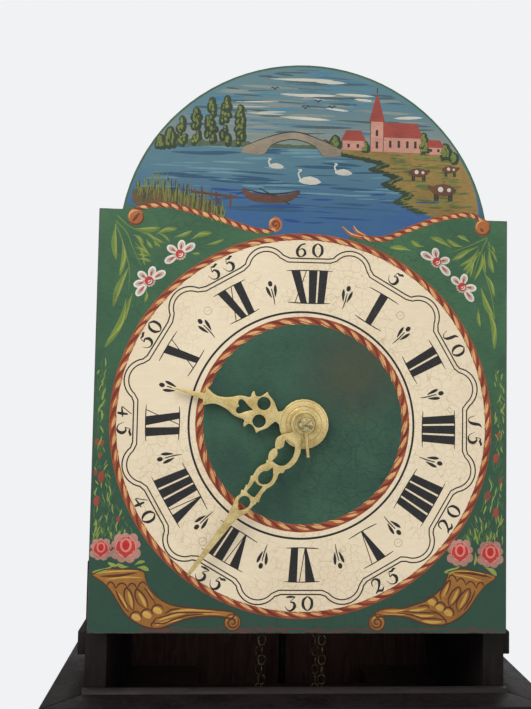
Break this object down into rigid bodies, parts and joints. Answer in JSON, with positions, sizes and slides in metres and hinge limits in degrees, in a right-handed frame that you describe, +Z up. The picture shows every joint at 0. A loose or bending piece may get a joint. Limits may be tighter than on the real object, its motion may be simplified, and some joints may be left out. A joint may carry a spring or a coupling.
{
  "type": "frisian tail clock",
  "caption": "Wall clock with a painted arched dial, pierced brass hands, chain-driven posted movement, bell, and a long tail case in which the pendulum swings.",
  "frame": {"origin": "on the wall plane at the back of the case, in line with the axis of the hands", "axes": "+X to the right seen from the front, +Y into the wall, +Z up"},
  "size_m": [0.3416, 0.1911, 1.1878],
  "materials": {
    "wood": "dark varnish",
    "dial_paint": "aged oil paint on iron",
    "hand_brass": "pale, matte",
    "brass": "aged",
    "steel": "dark",
    "iron": "black",
    "bell_bronze": "turned",
    "lead": "dull grey",
    "chain": "dull",
    "glass": "clear"
  },
  "bodies": {
    "case": {"back_board": "wood", "side_board_left": "wood", "side_board_right": "wood", "front_rail": "wood", "seat_board": "wood", "hood_runner_left": "wood", "hood_runner_right": "wood", "ledge_front": "wood", "ledge_left": "wood", "ledge_right": "wood", "console_floor": "wood", "tail_side_left": "wood", "tail_side_right": "wood", "tail_front": "wood", "lenticle_ring": "brass", "lenticle_glass": "glass", "dial_plate": "dial_paint", "hand_washer": "hand_brass", "hand_pin": "hand_brass", "bottom_plate": "iron", "top_plate": "iron", "pillar_front_left": "iron", "pillar_front_right": "iron", "pillar_rear_left": "iron", "pillar_rear_right": "iron", "front_bar": "iron", "middle_bar": "iron", "rear_bar": "iron", "suspension_cock": "iron", "bell": "bell_bronze", "bell_post": "steel", "drive_chain": "chain"},
    "going_second": {"going_second_arbor": "steel", "going_second_wheel": "brass"},
    "going_first": {"going_first_arbor": "steel", "going_great_wheel": "brass", "motion_wheel": "brass"},
    "escape": {"escape_arbor": "steel", "escape_wheel": "brass"},
    "minute": {"minute_tube": "brass", "minute_hand": "hand_brass"},
    "hour": {"hour_wheel": "brass", "hour_hand": "hand_brass"},
    "weight": {"weight": "brass"},
    "pulley": {"weight_pulley": "brass"},
    "ring": {"ring_weight": "lead"},
    "pendulum": {"pendulum_rod": "steel", "pendulum_bob": "brass", "rating_nut": "brass"},
    "anchor": {"anchor": "steel", "crutch": "steel"},
    "strike_second": {"strike_second_arbor": "steel", "strike_second_wheel": "brass"},
    "strike_first": {"strike_first_arbor": "steel", "strike_great_wheel": "brass"},
    "strike_chain": {"strike_chain_wheel": "brass"},
    "fly": {"fly": "steel"},
    "count": {"count_wheel": "brass"},
    "hammer": {"hammer": "steel"},
    "lifter": {"lifting_piece": "steel"}
  },
  "joints": [
    {"name": "going_second_turn", "type": "hinge", "parent": "case", "child": "going_second", "pos_m": [0, -0.1165, -0.0108], "axis": [0, 1, 0], "range_deg": [-8295, 8295]},
    {"name": "going_first_turn", "type": "hinge", "parent": "case", "child": "going_first", "pos_m": [0, -0.1165, -0.045], "axis": [0, 1, 0], "range_deg": [-1037, 1037]},
    {"name": "escape_turn", "type": "hinge", "parent": "case", "child": "escape", "pos_m": [0, -0.1165, 0.01845], "axis": [0, 1, 0], "range_deg": [-99500, 99500]},
    {"name": "minute_turn", "type": "hinge", "parent": "case", "child": "minute", "pos_m": [0, -0.1414, 0], "axis": [0, 1, 0], "range_deg": [-2073, 2073]},
    {"name": "hour_turn", "type": "hinge", "parent": "case", "child": "hour", "pos_m": [0, -0.149, 0], "axis": [0, 1, 0], "range_deg": [-173, 173]},
    {"name": "weight_fall", "type": "slide", "parent": "case", "child": "weight", "axis": [0, 0, -1], "range_m": [-0.208, 0.208], "deforming": ["drive_chain"]},
    {"name": "pulley_turn", "type": "hinge", "parent": "weight", "child": "pulley", "pos_m": [-0.023, -0.097, -0.5], "axis": [1, 0, 0], "range_deg": [-612, 612]},
    {"name": "ring_rise", "type": "slide", "parent": "case", "child": "ring", "axis": [0, 0, 1], "range_m": [-0.208, 0.208]},
    {"name": "pendulum_swing", "type": "hinge", "parent": "case", "child": "pendulum", "pos_m": [0, -0.0313, 0.04675], "axis": [0, 1, 0], "range_deg": [-2.5, 2.5]},
    {"name": "anchor_rock", "type": "hinge", "parent": "case", "child": "anchor", "pos_m": [0, -0.097, 0.04675], "axis": [0, 1, 0], "range_deg": [-2.6, 2.6]},
    {"name": "strike_second_turn", "type": "hinge", "parent": "case", "child": "strike_second", "pos_m": [0, -0.0775, -0.0108], "axis": [0, 1, 0], "continuous": true},
    {"name": "strike_first_turn", "type": "hinge", "parent": "case", "child": "strike_first", "pos_m": [0, -0.0775, -0.045], "axis": [0, 1, 0], "continuous": true},
    {"name": "strike_winding", "type": "hinge", "parent": "strike_first", "child": "strike_chain", "pos_m": [0, -0.0775, -0.045], "axis": [0, 1, 0], "continuous": true},
    {"name": "fly_turn", "type": "hinge", "parent": "case", "child": "fly", "pos_m": [0.01155, -0.0775, 0.00921], "axis": [0, 1, 0], "continuous": true},
    {"name": "count_turn", "type": "hinge", "parent": "case", "child": "count", "pos_m": [0, -0.0525, -0.0219], "axis": [0, 1, 0], "continuous": true},
    {"name": "hammer_lift", "type": "hinge", "parent": "case", "child": "hammer", "pos_m": [0.052, -0.0775, -0.045], "axis": [0, 1, 0], "range_deg": [0, 8], "stiffness_Nm_per_rad": 0.2},
    {"name": "lifter_lift", "type": "hinge", "parent": "case", "child": "lifter", "pos_m": [-0.045, -0.1395, -0.02], "axis": [0, -1, 0], "range_deg": [0, 8]}
  ],
  "couplings": [
    {"joint": "going_second_turn", "follows": "weight_fall", "rad_per_m": 695.65},
    {"joint": "going_first_turn", "follows": "weight_fall", "rad_per_m": -86.957},
    {"joint": "escape_turn", "follows": "weight_fall", "rad_per_m": -8347.8},
    {"joint": "minute_turn", "follows": "weight_fall", "rad_per_m": 173.91},
    {"joint": "hour_turn", "follows": "weight_fall", "rad_per_m": 14.493},
    {"joint": "ring_rise", "follows": "weight_fall", "ratio": 1},
    {"joint": "pulley_turn", "follows": "weight_fall", "rad_per_m": 51.282},
    {"joint": "anchor_rock", "follows": "pendulum_swing", "ratio": 1},
    {"joint": "strike_first_turn", "follows": "strike_second_turn", "ratio": -0.125},
    {"joint": "fly_turn", "follows": "strike_second_turn", "ratio": -10},
    {"joint": "count_turn", "follows": "strike_second_turn", "ratio": 0.020833}
  ]
}
